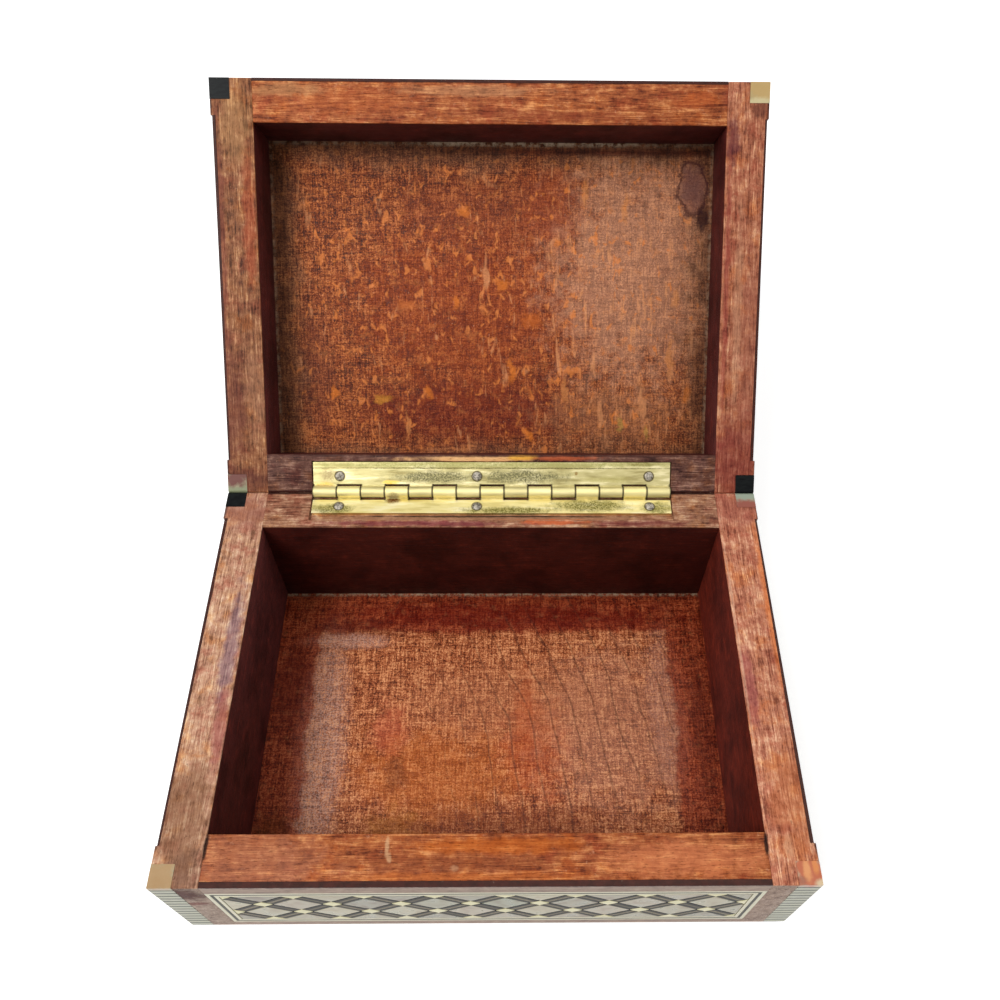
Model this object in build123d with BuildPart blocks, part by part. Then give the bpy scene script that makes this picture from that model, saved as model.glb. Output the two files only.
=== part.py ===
"""Inlaid trinket box: a wooden box and lid on a brass piano hinge, laid with pearl, bone and dark wood.

Millimetres, +Z up. The origin is the centre of the base's underside, +X is to the right and +Y to
the hinge at the back. The lid stands open on its stop.
"""
import os
from collections import namedtuple
from math import asin, atan2, cos, degrees, hypot, radians, sin

from build123d import *

# The closed box
box_width = 125.0
box_depth = 92.0
base_height = 32.0
lid_height = 18.6

# Wall thicknesses, measured with their inlay, and the two flat boards
base_side_wall = 9.4
base_front_wall = 10.0
base_back_wall = 10.3
floor_board = 2.5
lid_side_wall = 9.4
lid_front_wall = 9.3
lid_back_wall = 9.2
lid_cavity_depth = 13.6

# Sheets of inlay let into each face
front_inlay = 1.15
side_inlay = 0.6
top_inlay = 0.8
side_panel_drop = 0.4

# Corner posts, built up of bone and black layers, and the board end that shows beside them
post_size = 4.45
side_stile = 3.4
layer_pair = 2.0
black_layer = 0.5

# Eased edges
foot_round = 2.5
lid_round = 0.7
rim_round = 0.8

# Borders and stringing round each field
base_border_foot = 5.0
base_border_rim = 4.2
lid_border_rim = 2.9
lid_border_far = 4.1
top_border = 6.0
top_band = 7.6
cream_line = 0.8
dark_line = 0.6
mastic_line = 0.2
glue_line = 0.06

# The lattice: half the spacing of its crossings along a row, the spacing of rows, and the bars
half_pitch = 6.79
row_pitch = 6.0
bar_width = 3.4

# Piano hinge
rim_gap = 0.8
axis_inset = 0.4
hinge_length = 84.7
knuckle_count = 15
barrel_radius = 1.35
bore_radius = 0.65
bore_flats = 8
pin_radius = 0.6
leaf_sheet = 0.7
base_leaf_reach = 5.7
lid_leaf_reach = 7.0
knuckle_gap = 0.1
barrel_clearance = 0.25
mortise_clearance = 0.05
mortise_end_gap = 0.3
base_mortise = 8.2
lid_mortise = 7.6
stop_clearance = 0.3

# Hinge nails: cut tacks with square shanks
nail_places = (-36.1, -3.6, 37.3)
nail_reach = 3.7
nail_head_radius = 1.1
nail_head_facets = 12
nail_head_height = 0.4
nail_head_taper = 55.0
nail_shank = 0.9
nail_length = 6.5
nail_taper = 2.6
nail_hole = 0.98

# Where the hinge pin lies, and how far the lid swings back before its eased edge meets the base's
axis_y = box_depth / 2 - axis_inset
axis_z = base_height + rim_gap / 2
edge_centre_out = axis_inset - rim_round
edge_centre_up = rim_gap / 2 + rim_round
edge_centre_angle = degrees(atan2(edge_centre_up, edge_centre_out))
edge_contact = degrees(asin(rim_round / hypot(edge_centre_out, edge_centre_up)))
stop_angle = 2 * (edge_centre_angle - edge_contact)
open_angle = stop_angle - stop_clearance

# Depths that follow from the sizes above
line_set = 2 * cream_line + dark_line + mastic_line
lid_board_height = lid_height - top_inlay
barrel_floor = barrel_radius + mortise_clearance
mortise_depth = barrel_floor - rim_gap / 2
front_opening = box_width - 2 * base_side_wall
lid_opening = box_width - 2 * lid_side_wall
side_panel_length = box_depth - 2 * (post_size + side_stile)
side_recess = side_panel_drop + side_inlay


def placed(frame, origin, across, outward):
    """A plane given by an origin and two directions in another plane's own terms."""
    zero = frame.from_local_coords(Vector(0, 0, 0))
    return Plane(
        origin=frame.from_local_coords(Vector(*origin)),
        x_dir=frame.from_local_coords(Vector(*across)) - zero,
        z_dir=frame.from_local_coords(Vector(*outward)) - zero,
    )


# The base stands on its underside. The lid's plane lies in its rim, swung open about the pin.
base_frame = Plane.XY
hinge_frame = Plane(
    origin=(0, axis_y, axis_z),
    x_dir=(1, 0, 0),
    z_dir=(0, sin(radians(open_angle)), cos(radians(open_angle))),
)
lid_frame = placed(hinge_frame, (0, -axis_y, rim_gap / 2), (1, 0, 0), (0, 0, 1))


# Carcass: blocks that the finished base and lid are sanded to
def eased_block(frame, height, far_edges, far_round):
    """The outer block of the base or lid. far_edges is 0 where the edges away from the rim are low."""
    with BuildPart() as block:
        with BuildSketch(placed(frame, (-box_width / 2, 0, 0), (0, 1, 0), (1, 0, 0))) as section:
            with Locations((0, height / 2)):
                Rectangle(box_depth, height)
            rim_corners = section.vertices().group_by(Axis.Y)[-1 - far_edges]
            fillet(rim_corners.sort_by(Axis.X)[-1], rim_round)
            fillet(section.vertices().group_by(Axis.Y)[far_edges], far_round)
        extrude(amount=box_width)
        with BuildSketch(placed(frame, (0, box_depth / 2, 0), (-1, 0, 0), (0, 1, 0))) as ends:
            with Locations((0, height / 2)):
                Rectangle(box_width, height)
            fillet(ends.vertices().group_by(Axis.Y)[far_edges], far_round)
        extrude(amount=-box_depth, mode=Mode.INTERSECT)
    return block.part


base_block = eased_block(base_frame, base_height, 0, foot_round)
lid_block = eased_block(lid_frame, lid_height, -1, lid_round)


def post_corners():
    """Centres of the four corner posts in plan."""
    reach_x = (box_width - post_size) / 2
    reach_y = (box_depth - post_size) / 2
    return [(x, y) for x in (-reach_x, reach_x) for y in (-reach_y, reach_y)]


def side_board(frame, block, height, wall, side):
    """A full-depth end board, rebated for two posts and recessed for its sheet of inlay."""
    with BuildPart() as board:
        with BuildSketch(frame):
            with Locations((side * (box_width - wall) / 2, 0)):
                Rectangle(wall, box_depth)
            with Locations(*post_corners()):
                Rectangle(post_size, post_size, mode=Mode.SUBTRACT)
            with Locations((side * (box_width - side_recess) / 2, 0)):
                Rectangle(side_recess, side_panel_length, mode=Mode.SUBTRACT)
        extrude(amount=height)
        add(block, mode=Mode.INTERSECT)
    return board.part


def flat_board(frame, level, thickness, length, front_wall, back_wall):
    """A board lying between the four walls."""
    with BuildPart() as board:
        with BuildSketch(frame.offset(level)):
            with Locations((0, (front_wall - back_wall) / 2)):
                Rectangle(length, box_depth - front_wall - back_wall)
        extrude(amount=thickness)
    return board.part


# Base carcass
base_left_board = side_board(base_frame, base_block, base_height, base_side_wall, -1)
base_right_board = side_board(base_frame, base_block, base_height, base_side_wall, 1)
base_floor = flat_board(base_frame, 0, floor_board, front_opening, base_front_wall, base_back_wall)

with BuildPart() as base_front_board:
    front_board = base_front_wall - front_inlay
    with BuildSketch(base_frame):
        with Locations((0, base_front_wall - front_board / 2 - box_depth / 2)):
            Rectangle(front_opening, front_board)
    extrude(amount=base_height)
    add(base_block, mode=Mode.INTERSECT)

with BuildPart() as base_back_board:
    back_board = base_back_wall - side_inlay
    with BuildSketch(base_frame):
        with Locations((0, box_depth / 2 - base_back_wall + back_board / 2)):
            Rectangle(front_opening, back_board)
    extrude(amount=base_height)
    add(base_block, mode=Mode.INTERSECT)
    # Mortise for the hinge leaf, and pilot holes for its nails
    with BuildSketch(base_frame.offset(base_height)):
        with Locations((0, (box_depth - base_mortise) / 2)):
            Rectangle(hinge_length + 2 * mortise_end_gap, base_mortise)
    extrude(amount=-mortise_depth, mode=Mode.SUBTRACT)
    with BuildSketch(base_frame.offset(base_height - mortise_depth)):
        with Locations(*[(x, axis_y - nail_reach) for x in nail_places]):
            Rectangle(nail_hole, nail_hole)
    extrude(amount=-nail_length, mode=Mode.SUBTRACT)

# Lid carcass
lid_left_board = side_board(lid_frame, lid_block, lid_board_height, lid_side_wall, -1)
lid_right_board = side_board(lid_frame, lid_block, lid_board_height, lid_side_wall, 1)
lid_top_board = flat_board(
    lid_frame, lid_cavity_depth, lid_board_height - lid_cavity_depth, lid_opening, lid_front_wall, lid_back_wall
)

with BuildPart() as lid_front_board:
    lid_front_core = lid_front_wall - side_inlay
    with BuildSketch(lid_frame):
        with Locations((0, lid_front_wall - lid_front_core / 2 - box_depth / 2)):
            Rectangle(lid_opening, lid_front_core)
    extrude(amount=lid_board_height)
    add(lid_block, mode=Mode.INTERSECT)

with BuildPart() as lid_back_board:
    lid_back_core = lid_back_wall - side_inlay
    with BuildSketch(lid_frame):
        with Locations((0, box_depth / 2 - lid_back_wall + lid_back_core / 2)):
            Rectangle(lid_opening, lid_back_core)
    extrude(amount=lid_board_height)
    add(lid_block, mode=Mode.INTERSECT)
    with BuildSketch(lid_frame):
        with Locations((0, (box_depth - lid_mortise) / 2)):
            Rectangle(hinge_length + 2 * mortise_end_gap, lid_mortise)
    extrude(amount=mortise_depth, mode=Mode.SUBTRACT)
    with BuildSketch(lid_frame.offset(mortise_depth)):
        with Locations(*[(x, axis_y - nail_reach) for x in nail_places]):
            Rectangle(nail_hole, nail_hole)
    extrude(amount=nail_length, mode=Mode.SUBTRACT)


# Corner posts: each is a stack of bone and black layers, glued into its rebate
def layer_heights(height, rim_at_top, black_at_rim):
    """Middles of the bone layers and of the black layers of one post."""
    pairs = round(height / layer_pair)
    pair = height / pairs
    bone = pair - black_layer
    first, second = (black_layer, bone) if black_at_rim else (bone, black_layer)
    from_rim = [(i * pair + first / 2, i * pair + first + second / 2) for i in range(pairs)]
    if rim_at_top:
        from_rim = [(height - near, height - far) for near, far in from_rim]
    near, far = zip(*from_rim)
    return (far, near) if black_at_rim else (near, far)


def post_layers(frame, block, height, rim_at_top, black_corners, black):
    """All the bone layers or all the black layers of the four posts of the base or lid."""
    pairs = round(height / layer_pair)
    thickness = black_layer if black else height / pairs - black_layer
    middles = []
    for x, y in post_corners():
        corner = (1 if x > 0 else -1, 1 if y > 0 else -1)
        bones, blacks = layer_heights(height, rim_at_top, corner in black_corners)
        middles += [(x, y, z) for z in (blacks if black else bones)]
    with BuildPart() as layers:
        with Locations(*[frame.location * Location(middle) for middle in middles]):
            Box(post_size, post_size, thickness)
        add(block, mode=Mode.INTERSECT)
    return layers.part


base_black_corners = [(-1, 1)]
lid_black_corners = [(-1, -1), (1, 1)]
base_post_bone_layers = post_layers(base_frame, base_block, base_height, True, base_black_corners, False)
base_post_black_layers = post_layers(base_frame, base_block, base_height, True, base_black_corners, True)
lid_post_bone_layers = post_layers(lid_frame, lid_block, lid_height, False, lid_black_corners, False)
lid_post_black_layers = post_layers(lid_frame, lid_block, lid_height, False, lid_black_corners, True)

# Inlay panels. A panel's own origin is the middle of its lower edge, on its outer face.
Panel = namedtuple("Panel", "plane width height foot head side sheet")


def wall_panels(frame, height, opening, foot, head, front_sheet):
    """The four panels round the base or the lid."""
    front_y = box_depth / 2
    side_x = box_width / 2 - side_panel_drop
    front = placed(frame, (0, -front_y, 0), (1, 0, 0), (0, -1, 0))
    back = placed(frame, (0, front_y, 0), (-1, 0, 0), (0, 1, 0))
    left = placed(frame, (-side_x, 0, 0), (0, -1, 0), (-1, 0, 0))
    right = placed(frame, (side_x, 0, 0), (0, 1, 0), (1, 0, 0))
    return [
        Panel(front, opening, height, foot, head, 0, front_sheet),
        Panel(back, opening, height, foot, head, 0, side_inlay),
        Panel(left, side_panel_length, height, foot, head, 0, side_inlay),
        Panel(right, side_panel_length, height, foot, head, 0, side_inlay),
    ]


base_panels = wall_panels(base_frame, base_height, front_opening, base_border_foot, base_border_rim, front_inlay)
lid_panels = wall_panels(lid_frame, lid_board_height, lid_opening, lid_border_rim, lid_border_far, side_inlay)
top_plane = placed(lid_frame, (0, -box_depth / 2, lid_height), (1, 0, 0), (0, 0, 1))
top_outer_panel = Panel(top_plane, box_width, box_depth, top_border, top_border, top_border, top_inlay)
top_rim = top_border + line_set
top_inner_plane = placed(top_plane, (0, top_rim, 0), (1, 0, 0), (0, 0, 1))
top_inner_panel = Panel(
    top_inner_plane, box_width - 2 * top_rim, box_depth - 2 * top_rim, top_band, top_band, top_band, top_inlay
)
framed_lid_panels = lid_panels + [top_outer_panel, top_inner_panel]


def ring(half, low, high, low_width, high_width, side_width):
    """Strips round a rectangle: two run its whole length, and two stand between them."""
    strips = [
        (0, low + low_width / 2, 2 * half, low_width),
        (0, high - high_width / 2, 2 * half, high_width),
    ]
    if side_width:
        upright = high - low - low_width - high_width
        middle = low + low_width + upright / 2
        reach = half - side_width / 2
        strips += [(-reach, middle, side_width, upright), (reach, middle, side_width, upright)]
    return strips


def line_ring(panel, inset, width):
    """A line of stringing, inset from the panel's borders."""
    half = panel.width / 2 - panel.side - inset
    return ring(half, panel.foot + inset, panel.height - panel.head - inset, width, width, width)


def border_strips(panel):
    return ring(panel.width / 2, 0, panel.height, panel.foot, panel.head, panel.side)


def cream_strips(panel):
    return line_ring(panel, 0, cream_line) + line_ring(panel, cream_line + dark_line, cream_line)


def dark_strips(panel):
    return line_ring(panel, cream_line, dark_line)


def field_sheet(panel):
    """The whole field inside the stringing."""
    length = panel.width - 2 * (panel.side + line_set)
    return [(0, panel.height / 2, length, panel.height - 2 * (panel.foot + line_set))]


def laid_strips(panels, strips_of, block):
    """Strips let into each panel's face, then sanded down with the box."""
    with BuildPart() as strips:
        for panel in panels:
            with BuildSketch(panel.plane):
                for x, y, length, width in strips_of(panel):
                    with Locations((x, y)):
                        Rectangle(length - glue_line, width - glue_line)
            extrude(amount=-panel.sheet)
        add(block, mode=Mode.INTERSECT)
    return strips.part


with BuildPart() as base_border_strips:
    add(laid_strips(base_panels, border_strips, base_block))
    with BuildSketch(base_frame.offset(base_height)):
        with Locations((0, (box_depth - base_mortise) / 2)):
            Rectangle(hinge_length + 2 * mortise_end_gap, base_mortise)
    extrude(amount=-mortise_depth, mode=Mode.SUBTRACT)

with BuildPart() as lid_border_strips:
    add(laid_strips(framed_lid_panels, border_strips, lid_block))
    with BuildSketch(lid_frame):
        with Locations((0, (box_depth - lid_mortise) / 2)):
            Rectangle(hinge_length + 2 * mortise_end_gap, lid_mortise)
    extrude(amount=mortise_depth, mode=Mode.SUBTRACT)
    with BuildSketch(lid_frame.offset(lid_board_height)):
        with Locations(*post_corners()):
            Rectangle(post_size + glue_line, post_size + glue_line)
    extrude(amount=top_inlay, mode=Mode.SUBTRACT)

base_cream_lines = laid_strips(base_panels, cream_strips, base_block)
base_dark_lines = laid_strips(base_panels, dark_strips, base_block)
lid_cream_lines = laid_strips(framed_lid_panels, cream_strips, lid_block)
lid_dark_lines = laid_strips(framed_lid_panels, dark_strips, lid_block)
lid_top_field = laid_strips([top_inner_panel], field_sheet, lid_block)


# The lattice: bars cross at bone diamonds, with a pearl lozenge in each mesh
class Lattice:
    """The pattern of one panel's field, fitted to a whole number of half pitches and rows."""

    def __init__(self, panel):
        self.width = panel.width - 2 * (panel.side + line_set)
        self.height = panel.height - panel.foot - panel.head - 2 * line_set
        self.left = -self.width / 2
        self.top = panel.height - panel.head - line_set
        self.columns = round(self.width / half_pitch)
        self.rows = round(self.height / row_pitch)
        self.step = self.width / self.columns
        self.row = self.height / self.rows
        side = hypot(self.step, self.row)
        across = 2 * self.step * self.row / side
        self.bar = bar_width / across
        self.glue = glue_line / across

    def corners(self, odd):
        """Crossings of the bars, or the middles of the meshes between them."""
        return [
            (self.left + i * self.step, self.top - j * self.row)
            for i in range(self.columns + 1)
            for j in range(self.rows + 1)
            if (i + j) % 2 == odd
        ]

    def bars(self, rising):
        """Middles of the bars that rise or fall to the right."""
        return [
            (self.left + (i + 0.5) * self.step, self.top - (j + 0.5) * self.row)
            for i in range(self.columns)
            for j in range(self.rows)
            if (i + j) % 2 == rising
        ]

    def tile(self, along, across, rising=0):
        """A tile's corners, from its share of a mesh along its bar and across it."""
        slope = 1 if rising else -1
        a = (along - self.glue) / 2
        b = (across - self.glue) / 2
        ends = ((a, b), (-a, b), (-a, -b), (a, -b))
        return [(self.step * (p + q), slope * self.row * (p - q)) for p, q in ends]


def laid_tiles(panels, tiles_of, block):
    """Tiles let into each panel's field and cut off at its edges."""
    with BuildPart() as tiles:
        for panel in panels:
            lattice = Lattice(panel)
            with BuildSketch(panel.plane):
                for places, corners in tiles_of(lattice):
                    with Locations(*places):
                        Polygon(*corners)
                with Locations((0, lattice.top - lattice.height / 2)):
                    Rectangle(lattice.width - glue_line, lattice.height - glue_line, mode=Mode.INTERSECT)
            extrude(amount=-panel.sheet)
        add(block, mode=Mode.INTERSECT)
    return tiles.part


def pearl_tiles(lattice):
    return [(lattice.corners(1), lattice.tile(1 - lattice.bar, 1 - lattice.bar))]


def bone_tiles(lattice):
    return [(lattice.corners(0), lattice.tile(lattice.bar, lattice.bar))]


def bar_tiles(lattice):
    return [(lattice.bars(rising), lattice.tile(1 - lattice.bar, lattice.bar, rising)) for rising in (0, 1)]


base_pearl_lozenges = laid_tiles(base_panels, pearl_tiles, base_block)
base_bone_diamonds = laid_tiles(base_panels, bone_tiles, base_block)
base_lattice_bars = laid_tiles(base_panels, bar_tiles, base_block)
lid_pearl_lozenges = laid_tiles(lid_panels, pearl_tiles, lid_block)
lid_bone_diamonds = laid_tiles(lid_panels, bone_tiles, lid_block)
lid_lattice_bars = laid_tiles(lid_panels, bar_tiles, lid_block)


# Piano hinge: each leaf is one sheet, rolled at its edge into every other knuckle
knuckle_pitch = hinge_length / knuckle_count


def hinge_leaf(frame, end, first_knuckle, facing, reach):
    """A leaf seen along the pin from one end. facing is the way its nailed face looks.

    Each knuckle is left with flats inside where the sheet was rolled.
    """
    section_plane = placed(frame, (end * hinge_length / 2, 0, 0), (0, -1, 0), (-end, 0, 0))
    with BuildPart(section_plane) as leaf:
        with BuildSketch(section_plane):
            Circle(barrel_radius)
            with Locations((reach / 2, barrel_floor - leaf_sheet / 2)):
                Rectangle(reach, leaf_sheet)
            RegularPolygon(bore_radius, bore_flats, major_radius=False, mode=Mode.SUBTRACT)
        extrude(amount=hinge_length)
        others = range(1 - first_knuckle, knuckle_count, 2)
        notch = 2 * (barrel_radius + barrel_clearance)
        with Locations(*[(0, 0, (i + 0.5) * knuckle_pitch) for i in others]):
            Box(notch, notch, knuckle_pitch + knuckle_gap, mode=Mode.SUBTRACT)
        with BuildSketch(placed(frame, (0, -nail_reach, -facing * barrel_floor), (1, 0, 0), (0, 0, facing))):
            with Locations(*[(x, 0) for x in nail_places]):
                Rectangle(nail_hole, nail_hole)
        extrude(amount=leaf_sheet, mode=Mode.SUBTRACT)
    return leaf.part


def hinge_nails(frame, facing):
    """Three tacks, their low forged heads on the leaf's face."""
    with BuildPart() as nail:
        with BuildSketch():
            RegularPolygon(nail_head_radius, nail_head_facets)
        extrude(amount=nail_head_height, taper=nail_head_taper)
        with BuildSketch():
            Rectangle(nail_shank, nail_shank)
        extrude(amount=-nail_length, taper=nail_taper)
    face = placed(frame, (0, -nail_reach, facing * (leaf_sheet - barrel_floor)), (1, 0, 0), (0, 0, facing))
    with BuildPart(face) as nails:
        with Locations(*[(x, 0) for x in nail_places]):
            add(nail.part)
    return nails.part


pin_frame = placed(hinge_frame, (0, 0, 0), (1, 0, 0), (0, 0, 1))
base_hinge_frame = Plane(origin=(0, axis_y, axis_z), x_dir=(1, 0, 0), z_dir=(0, 0, 1))
hinge_base_leaf = hinge_leaf(base_hinge_frame, -1, 1, 1, base_leaf_reach)
hinge_lid_leaf = hinge_leaf(pin_frame, 1, 0, -1, lid_leaf_reach)
base_hinge_nails = hinge_nails(base_hinge_frame, 1)
lid_hinge_nails = hinge_nails(pin_frame, -1)

with BuildPart() as hinge_pin:
    with BuildSketch(placed(base_hinge_frame, (-hinge_length / 2, 0, 0), (0, 1, 0), (1, 0, 0))):
        Circle(pin_radius)
    extrude(amount=hinge_length)


pieces = {
    "base_left_board": base_left_board,
    "base_right_board": base_right_board,
    "base_front_board": base_front_board.part,
    "base_back_board": base_back_board.part,
    "base_floor": base_floor,
    "base_post_bone_layers": base_post_bone_layers,
    "base_post_black_layers": base_post_black_layers,
    "base_border_strips": base_border_strips.part,
    "base_cream_lines": base_cream_lines,
    "base_dark_lines": base_dark_lines,
    "base_pearl_lozenges": base_pearl_lozenges,
    "base_lattice_bars": base_lattice_bars,
    "base_bone_diamonds": base_bone_diamonds,
    "lid_left_board": lid_left_board,
    "lid_right_board": lid_right_board,
    "lid_front_board": lid_front_board.part,
    "lid_back_board": lid_back_board.part,
    "lid_top_board": lid_top_board,
    "lid_post_bone_layers": lid_post_bone_layers,
    "lid_post_black_layers": lid_post_black_layers,
    "lid_border_strips": lid_border_strips.part,
    "lid_cream_lines": lid_cream_lines,
    "lid_dark_lines": lid_dark_lines,
    "lid_top_field": lid_top_field,
    "lid_pearl_lozenges": lid_pearl_lozenges,
    "lid_lattice_bars": lid_lattice_bars,
    "lid_bone_diamonds": lid_bone_diamonds,
    "hinge_base_leaf": hinge_base_leaf,
    "hinge_lid_leaf": hinge_lid_leaf,
    "hinge_pin": hinge_pin.part,
    "base_hinge_nails": base_hinge_nails,
    "lid_hinge_nails": lid_hinge_nails,
}

os.makedirs("parts", exist_ok=True)
for name, piece in pieces.items():
    piece.label = name
    export_step(piece, f"parts/{name}.step")
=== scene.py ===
"""Looks of the inlaid trinket box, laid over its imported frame. Metres, +Z up, the lid standing open."""
from math import hypot, pi, radians

import bmesh
import bpy
from mathutils import Matrix, Vector


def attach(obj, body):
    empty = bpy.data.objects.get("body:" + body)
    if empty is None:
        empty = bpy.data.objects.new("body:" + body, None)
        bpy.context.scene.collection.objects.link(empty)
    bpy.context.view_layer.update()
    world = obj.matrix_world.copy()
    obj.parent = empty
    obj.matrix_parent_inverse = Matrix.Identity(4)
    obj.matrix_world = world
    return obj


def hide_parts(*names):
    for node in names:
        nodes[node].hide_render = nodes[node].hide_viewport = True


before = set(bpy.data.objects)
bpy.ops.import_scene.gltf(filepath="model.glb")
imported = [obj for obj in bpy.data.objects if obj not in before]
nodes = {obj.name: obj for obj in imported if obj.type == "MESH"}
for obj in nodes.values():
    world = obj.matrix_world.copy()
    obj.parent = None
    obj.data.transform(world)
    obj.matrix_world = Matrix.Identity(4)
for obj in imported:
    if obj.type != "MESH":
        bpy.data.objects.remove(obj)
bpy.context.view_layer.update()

# Base front board: a length of beech between the two side boards, stained red-brown and varnished.
# Its upper edge is the front rim, rubbed to orange along the middle, with painted shadow where the inlay
# meets it.
mm = 0.001
base_rim = 32.0
front_face = 46.0
side_face = 62.1


def put(tree, kind, sockets, **settings):
    """Adds a node to a tree, and feeds its sockets with values or with other nodes' outputs."""
    node = tree.nodes.new(kind)
    for key, value in settings.items():
        setattr(node, key, value)
    for key, value in sockets.items():
        if isinstance(value, bpy.types.NodeSocket):
            tree.links.new(value, node.inputs[key])
        else:
            node.inputs[key].default_value = value
    return node


def paint(red, green, blue):
    """A colour as it shows on a screen, from 0 to 255, turned to linear light."""
    shares = [c / 255 for c in (red, green, blue)]
    return tuple(c / 12.92 if c <= 0.04045 else ((c + 0.055) / 1.055) ** 2.4 for c in shares) + (1.0,)


class Sums:
    """Sums in a node tree, of numbers and other nodes' outputs."""

    def part(self, kind, sockets, **settings):
        return put(self.tree, "ShaderNode" + kind, sockets, **settings).outputs

    def maths(self, operation, *values):
        return self.part("Math", dict(enumerate(values)), operation=operation)[0]

    def times(self, a, b):
        return self.maths("MULTIPLY", a, b)

    def plus(self, a, b):
        return self.maths("ADD", a, b)

    def less(self, a, b):
        return self.maths("SUBTRACT", a, b)

    def larger(self, a, b):
        return self.maths("MAXIMUM", a, b)

    def smaller(self, a, b):
        return self.maths("MINIMUM", a, b)

    def off(self, value, at=0.0):
        """How far value is from at, either way."""
        return self.maths("ABSOLUTE", self.less(value, at))


class Finish(Sums):
    """A finish laid on coat by coat, in millimetres. colour is what the coats so far look like, level the
    height of the face that they lie on, and depth how deep a patch goes there. Colours are written as a
    screen shows them, 0 to 255."""

    def __init__(self, name, from_frame=Matrix(), level=0.0, depth=9.0):
        self.material = bpy.data.materials.new(name)
        self.material.use_nodes = True
        self.tree = self.material.node_tree
        self.shader = self.tree.nodes["Principled BSDF"]
        self.level, self.depth = level, depth
        self.colour = None
        place, turn, _ = from_frame.decompose()
        spot = self.part("TexCoord", {})["Object"]
        sockets = {"Vector": spot, "Location": place / mm, "Rotation": turn.to_euler()}
        sockets["Scale"] = (1 / mm,) * 3
        self.where = self.part("Mapping", sockets)[0]
        self.x, self.y, self.z = self.part("SeparateXYZ", {0: self.where})

    def vector(self, operation, *values):
        outputs = self.part("VectorMath", dict(enumerate(values)), operation=operation)
        return outputs["Value" if operation == "LENGTH" else "Vector"]

    def mark(self, name):
        """What a piece's attribute of that name says."""
        return self.part("Attribute", {}, attribute_name=name)["Fac"]

    def noise(self, squeeze, seed=0.0, detail=3.0, rough=0.55, warp=0.0, colour=False):
        """Noise with grains 1 / squeeze millimetres long. squeeze is one number, or one each way."""
        each = squeeze if isinstance(squeeze, tuple) else (squeeze,) * 3
        spot = self.vector("MULTIPLY", self.vector("ADD", self.where, (seed,) * 3), each)
        sockets = {"Vector": spot, "Scale": 1.0, "Detail": detail, "Roughness": rough, "Distortion": warp}
        return self.part("TexNoise", sockets)["Color" if colour else "Fac"]

    def wander(self, reach, *noise):
        """Noise that strays up to about that far each way."""
        drift = self.vector("SUBTRACT", self.noise(*noise, colour=True), (0.5,) * 3)
        return self.vector("MULTIPLY", drift, reach)

    def ragged(self, value, by, *noise):
        """A value made uneven by noise."""
        return self.plus(value, self.times(self.less(self.noise(*noise), 0.5), by))

    def rise(self, value, low, high):
        """0 below low, 1 above high, and smooth between. Low may be the larger of the two."""
        ends = (0.0, 1.0) if low < high else (1.0, 0.0)
        sockets = {"Value": value, "From Min": min(low, high), "From Max": max(low, high)}
        sockets.update({"To Min": ends[0], "To Max": ends[1]})
        return self.part("MapRange", sockets, interpolation_type="SMOOTHSTEP")[0]

    def ramp(self, value, low, high):
        """0 at low and 1 at high, straight between."""
        sockets = {"Value": value, "From Min": low, "From Max": high}
        return self.part("MapRange", sockets)[0]

    def near(self, value, at, reach):
        """1 where value is at, fading to 0 a reach away on either side."""
        return self.rise(self.off(value, at), reach, 0.0)

    def mix(self, share, a, b, how="MIX"):
        sides = [paint(*side) if isinstance(side, tuple) else side for side in (a, b)]
        sockets = {0: share, 6: sides[0], 7: sides[1]}
        return self.part("Mix", sockets, data_type="RGBA", blend_type=how)[2]

    def tinted(self, colour, share, tint):
        """The colour seen through that share of a stain."""
        return self.mix(share, colour, self.mix(1.0, colour, tint, "MULTIPLY"))

    def blend(self, value, *colours):
        """Runs through the colours as value goes from 0 to 1."""
        steps = len(colours) - 1
        colour = colours[0]
        for i in range(steps):
            colour = self.mix(self.rise(value, i / steps, (i + 1) / steps), colour, colours[i + 1])
        return colour

    def coat(self, where, strength, tint):
        """Lays a colour over the coats so far."""
        self.colour = self.mix(self.times(where, strength), self.colour, tint)

    def stain(self, where, strength, tint):
        """Darkens the coats so far, as a clear stain does."""
        self.colour = self.tinted(self.colour, self.times(where, strength), tint)

    def deepen(self, share, figure):
        """Brings the wood's figure out through the coats so far."""
        self.colour = self.mix(share, self.colour, figure, "SOFT_LIGHT")

    def blot(self, centre, reach, ragged=0.45, seed=0.0, grain=0.3):
        """A patch with a soft ragged edge, 1 in the middle and 0 outside. A z that isn't given is the
        finish's own."""
        centre, reach = (*centre, self.level)[:3], (*reach, self.depth)[:3]
        spot = self.vector("DIVIDE", self.vector("SUBTRACT", self.where, centre), reach)
        spot = self.vector("ADD", spot, self.wander((4 * ragged,) * 3, grain, seed, 5, 0.65))
        return self.rise(self.vector("LENGTH", spot), 1.2, 0.45)

    def patches(self, stains, seed=0.0):
        """Lays ragged patches, each with its centre, reach, colour and strength."""
        for i, (centre, reach, tint, strength) in enumerate(stains):
            self.coat(self.blot(centre, reach, seed=seed + 17 * i), strength, tint)

    def relief(self, height, depth):
        """Bumps of that depth in millimetres."""
        sockets = {"Height": height, "Distance": depth * mm, "Strength": 1.0}
        return self.part("Bump", sockets)[0]

    def done(self, rough, normal=None, shine=0.5, metal=0.0):
        """Feeds the shader. shine and metal are the same all over."""
        inputs = self.shader.inputs
        inputs["Specular IOR Level"].default_value = shine
        inputs["Metallic"].default_value = metal
        for label, value in {"Base Color": self.colour, "Roughness": rough, "Normal": normal}.items():
            if isinstance(value, bpy.types.NodeSocket):
                self.tree.links.new(value, inputs[label])
            elif value is not None:
                inputs[label].default_value = value
        return self.material


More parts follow.
